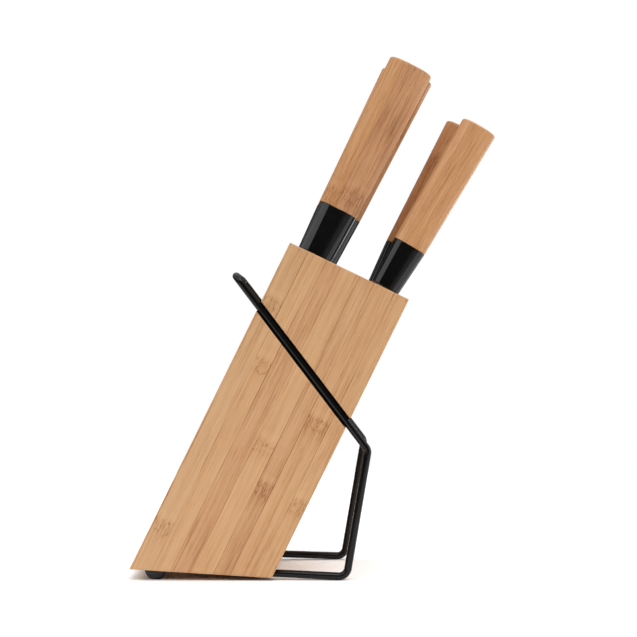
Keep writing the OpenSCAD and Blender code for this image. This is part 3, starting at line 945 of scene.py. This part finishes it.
# Powder coat and rubber
PEEL_SIZE = 0.7 * MM
PEEL_DEPTH = 0.04 * MM
GRIT_SIZE = 0.18 * MM
GRIT_RISE = 0.3
WEAR_SIZE = 14 * MM
POWDER_ROUGHNESS = (0.08, 0.06)
WEAR_ROUGHNESS = 0.08
RUBBER_GRAIN_SIZE = 0.35 * MM
RUBBER_GRAIN_DEPTH = 0.05 * MM
DUST_SIZE = 3 * MM
RUBBER_ROUGHNESS = (0.6, 0.2)

# Steel, in millimetres: how far its marks are drawn out across the blade, and their scale, detail and
# roughness
GRIND_STRETCH = (0.04, 0.04, 1.0)
GRIND_MARKS = (6.0, 4.0, 0.65)
GRIND_DEPTH = 0.015 * MM
BROAD_STRETCH = (0.1, 0.1, 1.0)
BROAD_MARKS = (0.3, 3.0)
BROAD_PART = 0.4
SMUDGES = (0.05, 3.0, 0.6)
STEEL_ROUGHNESS = (0.18, 0.08)
GRIND_ROUGHNESS = 0.14


def glossy_black(name, place, seed):
    """Moulded gloss plastic: even black, with faint haze and fine rub marks in its gloss."""
    g = Graph(name)
    shift = (seed * FERRULE_SHIFT, 0, 0)
    moved = g.node("VectorMath", g.local(place), shift, operation="ADD").outputs[0]
    haze = g.noise(moved, *HAZE)
    rub = g.fade(g.drawn_noise(moved, *RUB_MARKS), *RUB_LEVELS)
    ripple = g.drawn_noise(moved, *RIPPLES)
    colour = g.ramp(haze, *FERRULE_BLACKS)
    rough = g.within(haze, g.within(rub, *FERRULE_ROUGHNESS), HAZE_ROUGHNESS)
    normal = g.bump(ripple, RIPPLE_DEPTH, 0.5)
    return g.finish(Base_Color=colour, Roughness=rough, Normal=normal, IOR=1.41)


def powder_coat():
    """Satin black powder coat, with the fine orange peel of baked powder."""
    g = Graph("powder_coat")
    here = g.node("TexCoord").outputs["Object"]
    peel = g.noise(here, 1 / PEEL_SIZE)
    grit = g.noise(here, 1 / GRIT_SIZE)
    worn = g.noise(here, 1 / WEAR_SIZE, 3.0)
    colour = g.ramp(worn, *POWDER_BLACKS)
    rough = g.within(worn, g.within(grit, *POWDER_ROUGHNESS), WEAR_ROUGHNESS)
    relief = g.math("MULTIPLY_ADD", grit, GRIT_RISE, peel)
    normal = g.bump(relief, PEEL_DEPTH, 0.6)
    return g.finish(Base_Color=colour, Roughness=rough, Normal=normal, IOR=1.32)


def rubber():
    """Matte black rubber with a fine moulded grain and a little dust."""
    g = Graph("foot_rubber")
    here = g.node("TexCoord").outputs["Object"]
    grain = g.noise(here, 1 / RUBBER_GRAIN_SIZE, 3.0)
    dust = g.noise(here, 1 / DUST_SIZE, 4.0, 0.6)
    colour = g.ramp(dust, *RUBBER_GREYS)
    rough = g.within(grain, *RUBBER_ROUGHNESS)
    normal = g.bump(grain, RUBBER_GRAIN_DEPTH, 0.5)
    return g.finish(Base_Color=colour, Roughness=rough, Normal=normal, IOR=1.45)


def steel(name, place):
    """Stainless steel with fine grinding marks across the blade, and a few smudges in its gloss."""
    g = Graph(name)
    spot = g.local(place)
    ground = g.noise(g.stretch(spot, *GRIND_STRETCH), *GRIND_MARKS)
    broad = g.noise(g.stretch(spot, *BROAD_STRETCH), *BROAD_MARKS)
    smudge = g.noise(spot, *SMUDGES)
    tone = g.math("MULTIPLY_ADD", broad, BROAD_PART, g.math("MULTIPLY", ground, 1 - BROAD_PART))
    colour = g.ramp(tone, *STEEL_GREYS)
    rough = g.within(ground, g.within(smudge, *STEEL_ROUGHNESS), GRIND_ROUGHNESS)
    normal = g.bump(ground, GRIND_DEPTH, 0.6)
    return g.finish(Base_Color=colour, Metallic=1.0, Roughness=rough, Normal=normal)


def floor_material():
    """Matte white paper, very slightly uneven in tone."""
    g = Graph("studio_floor")
    here = g.node("TexCoord").outputs["Object"]
    return g.finish(Base_Color=g.ramp(g.noise(here, 3.0), *PAPER_WHITES), Roughness=0.7)


# ---- pieces ----

# Height of a knuckle above each ferrule's foot, in millimetres, and how much paler the grip's wood is
GRIPS = {
    "chef": (100.0, 0.0),
    "bread": (41.0, 0.0),
    "carving": (75.0, 0.03),
    "utility": (96.0, 0.0),
    "paring": (0.0, 0.14),
}
BOARD_KNUCKLE_STEP = 61.7
GRIP_SEED = 40

# The side boards' groove walls get painted shade
for seed, node in enumerate(BOARDS):
    wood = bamboo(
        "bamboo_" + node, BLOCK_FRAME, seed, BLOCK_WOOD, seed * BOARD_KNUCKLE_STEP,
        shaded_grooves=node.startswith("side_board"),
    )
    finish_piece(board(node), node, wood, BOARD_SHARP_ANGLE)

wire_stand(powder_coat())
foot_material = rubber()
for side in ("right", "left"):
    foot(side, foot_material)

for seed, name in enumerate(GRIPS):
    place = knife_frame(name)
    knuckle_at, shade = GRIPS[name]
    blade(name, place, steel("steel_" + name, place))
    ferrule(name, place, glossy_black("gloss_" + name, place, seed))
    grip(name, place, bamboo("bamboo_" + name, place, GRIP_SEED + seed, GRIP_WOOD, knuckle_at, shade))

# ---- stage, lights and camera ----

MIDDLE = (cad_box[0] + cad_box[1]) / 2

# The camera stands at the object's right side and is level, with its frame shifted up
CAMERA_BACK = 0.9455
CAMERA_X = 0.00327
CAMERA_HEIGHT = 0.1619
CAMERA_LENS = 78.27
CAMERA_SHIFT = 0.0212
FLOOR_R = 0.66
FLOOR_SIDES = 96
# The room's light by the height of the direction it comes from: -1 is straight below, 1 straight above
ROOM_LIGHT = 0.08
CEILING_FROM = 0.5
CEILING_FULL = 0.7
CEILING_LIGHT = 1.6
BELOW_FROM = -0.05
BELOW_FULL = -0.25
BELOW_LIGHT = 0.45
# Azimuth and elevation in degrees, distance, width and height in metres, and radiance. Azimuth 0 is the
# camera's side, and 90 the right.
SOFTBOXES = {
    "key": (12, 52, 1.6, 1.0, 0.8, 3.2),
    "card_left": (-62, 24, 1.3, 1.6, 0.48, 2.0),
    "card_back_left": (-112, 25, 1.3, 0.84, 0.48, 0.8),
    "card_right": (78, 10, 1.2, 0.8, 0.9, 2.6),
    "rim_right": (132, 6, 1.2, 0.3, 1.0, 3.5),
}


def floor():
    """A round sheet of white paper."""
    rim = [Vector((FLOOR_R * math.cos(t), FLOOR_R * math.sin(t), 0)) for t in around(FLOOR_SIDES)]
    bm = loft([rim], end=Vector((0, 0, 0)))
    mesh = bpy.data.meshes.new("studio_floor")
    bm.to_mesh(mesh)
    bm.free()
    mesh.materials.append(floor_material())
    made = bpy.data.objects.new("studio_floor", mesh)
    bpy.context.scene.collection.objects.link(made)


def softbox(name, azimuth, elevation, distance, width, height, radiance):
    """A rectangular light aimed at the object's middle."""
    a, e = math.radians(azimuth), math.radians(elevation)
    away = Vector((math.sin(a) * math.cos(e), -math.cos(a) * math.cos(e), math.sin(e)))
    lamp = bpy.data.lights.new(name, "AREA")
    lamp.shape = "RECTANGLE"
    lamp.size = width
    lamp.size_y = height
    lamp.energy = radiance * math.pi * width * height
    box = bpy.data.objects.new(name, lamp)
    box.location = MIDDLE + away * distance
    box.rotation_mode = "QUATERNION"
    box.rotation_quaternion = away.to_track_quat("Z", "Y")
    box.visible_camera = False
    bpy.context.scene.collection.objects.link(box)


def studio_world():
    """White to the camera. To everything else, a wide soft ceiling over a dim room and a grey ground."""
    world = bpy.data.worlds.new("studio")
    world.use_nodes = True
    nodes, links = world.node_tree.nodes, world.node_tree.links
    nodes.clear()
    output = nodes.new("ShaderNodeOutputWorld")
    mix = nodes.new("ShaderNodeMixShader")
    seen = nodes.new("ShaderNodeBackground")
    room = nodes.new("ShaderNodeBackground")
    path = nodes.new("ShaderNodeLightPath")
    where = nodes.new("ShaderNodeTexCoord")
    split = nodes.new("ShaderNodeSeparateXYZ")
    ceiling = nodes.new("ShaderNodeMapRange")
    below = nodes.new("ShaderNodeMapRange")
    total = nodes.new("ShaderNodeMath")
    total.operation = "ADD"
    for part, numbers in (
        (ceiling, (CEILING_FROM, CEILING_FULL, ROOM_LIGHT, CEILING_LIGHT)),
        (below, (BELOW_FROM, BELOW_FULL, 0, BELOW_LIGHT)),
    ):
        part.interpolation_type = "SMOOTHSTEP"
        for socket, value in zip(part.inputs[1:5], numbers):
            socket.default_value = value
    links.new(where.outputs["Generated"], split.inputs[0])
    links.new(split.outputs["Z"], ceiling.inputs[0])
    links.new(split.outputs["Z"], below.inputs[0])
    links.new(ceiling.outputs[0], total.inputs[0])
    links.new(below.outputs[0], total.inputs[1])
    links.new(total.outputs[0], room.inputs["Strength"])
    seen.inputs["Color"].default_value = (1, 1, 1, 1)
    room.inputs["Color"].default_value = (1, 1, 1, 1)
    links.new(path.outputs["Is Camera Ray"], mix.inputs[0])
    links.new(room.outputs[0], mix.inputs[1])
    links.new(seen.outputs[0], mix.inputs[2])
    links.new(mix.outputs[0], output.inputs[0])
    bpy.context.scene.world = world


def camera():
    """A level camera that looks along +Y."""
    data = bpy.data.cameras.new("camera")
    data.lens = CAMERA_LENS
    data.shift_y = CAMERA_SHIFT
    made = bpy.data.objects.new("camera", data)
    made.location = (CAMERA_X, -CAMERA_BACK, CAMERA_HEIGHT)
    made.rotation_euler = (math.radians(90), 0, 0)
    bpy.context.scene.collection.objects.link(made)
    bpy.context.scene.camera = made


floor()
studio_world()
for name, settings in SOFTBOXES.items():
    softbox(name, *settings)
camera()
bpy.context.scene.view_settings.view_transform = "Standard"
